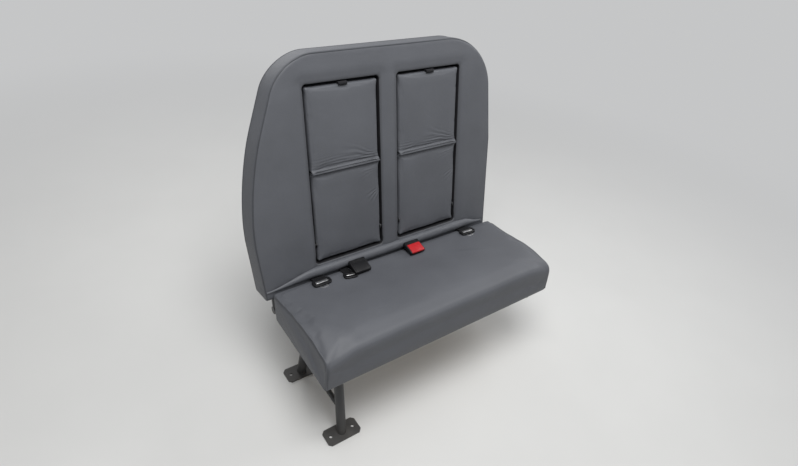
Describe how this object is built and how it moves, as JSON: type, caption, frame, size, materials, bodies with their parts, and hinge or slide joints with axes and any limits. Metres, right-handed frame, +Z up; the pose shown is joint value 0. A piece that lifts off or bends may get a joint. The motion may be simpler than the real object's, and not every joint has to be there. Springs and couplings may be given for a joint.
{
  "type": "two-place bus bench seat with fold-down child seats",
  "caption": "Padded bus bench with a high back, bolted to floor and side wall; child seats fold down out of pockets in the back over the bench.",
  "frame": {"origin": "on the floor, at the centre of the aisle leg's bolts", "axes": "-Y is the way passengers face, +X runs from the aisle to the side wall, +Z is up"},
  "size_m": [0.996, 0.6091, 1.1287],
  "materials": {
    "vinyl": "fine-grained vinyl",
    "vinyl_dark": "fine-grained vinyl",
    "webbing": "woven webbing",
    "black_plastic": "moulded",
    "bare_steel": "plated",
    "black_paint": "black powder coat",
    "plywood": "plywood",
    "liner_plastic": "moulded"
  },
  "bodies": {
    "bench": {"back_cushion": "vinyl", "back_rear_panel": "vinyl", "bench_cushion": "vinyl", "cushion_board": "plywood", "front_cross_tube": "black_paint", "rear_cross_tube": "black_paint", "aisle_side_rail": "black_paint", "leg_rail": "black_paint", "window_side_rail": "black_paint", "aisle_back_post": "black_paint", "window_back_post": "black_paint", "front_leg_tube": "black_paint", "rear_leg_tube": "black_paint", "leg_brace": "black_paint", "front_foot": "black_paint", "rear_foot": "black_paint", "wall_bracket": "black_paint", "aisle_belt_tongue": "bare_steel", "aisle_tongue_webbing": "webbing", "aisle_belt_buckle": "black_plastic", "aisle_buckle_webbing": "webbing", "window_belt_buckle": "black_plastic", "window_buckle_webbing": "webbing", "window_belt_tongue": "bare_steel", "window_tongue_webbing": "webbing", "aisle_pocket_liner": "liner_plastic", "aisle_child_backrest": "vinyl_dark", "aisle_harness_strap_left": "webbing", "aisle_harness_strap_right": "webbing", "aisle_chest_clip": "black_plastic", "aisle_pivot_stud_left": "black_paint", "aisle_pivot_stud_right": "black_paint", "window_pocket_liner": "liner_plastic", "window_child_backrest": "vinyl_dark", "window_harness_strap_left": "webbing", "window_harness_strap_right": "webbing", "window_chest_clip": "black_plastic", "window_pivot_stud_left": "black_paint", "window_pivot_stud_right": "black_paint"},
    "aisle_lower_fold": {"aisle_lower_pad": "vinyl", "aisle_seat_pan": "black_paint", "aisle_booster_pad": "vinyl_dark", "aisle_crotch_strap": "webbing", "aisle_crotch_buckle": "black_plastic", "aisle_fold_welt": "vinyl"},
    "aisle_upper_fold": {"aisle_upper_pad": "vinyl", "aisle_upper_board": "liner_plastic", "aisle_pull_strap": "webbing"},
    "window_lower_fold": {"window_lower_pad": "vinyl", "window_seat_pan": "black_paint", "window_booster_pad": "vinyl_dark", "window_crotch_strap": "webbing", "window_crotch_buckle": "black_plastic", "window_fold_welt": "vinyl"},
    "window_upper_fold": {"window_upper_pad": "vinyl", "window_upper_board": "liner_plastic", "window_pull_strap": "webbing"}
  },
  "joints": [
    {"name": "aisle_seat_fold", "type": "hinge", "parent": "bench", "child": "aisle_lower_fold", "pos_m": [0.2076, 0.21028, 0.5272], "axis": [1, 0, 0], "range_deg": [0, 101.6]},
    {"name": "aisle_top_fold", "type": "hinge", "parent": "aisle_lower_fold", "child": "aisle_upper_fold", "pos_m": [0.2076, 0.24488, 0.77531], "axis": [1, 0, 0], "range_deg": [0, 180]},
    {"name": "window_seat_fold", "type": "hinge", "parent": "bench", "child": "window_lower_fold", "pos_m": [0.5416, 0.21028, 0.5272], "axis": [1, 0, 0], "range_deg": [0, 101.6]},
    {"name": "window_top_fold", "type": "hinge", "parent": "window_lower_fold", "child": "window_upper_fold", "pos_m": [0.5416, 0.24488, 0.77531], "axis": [1, 0, 0], "range_deg": [0, 180]}
  ]
}
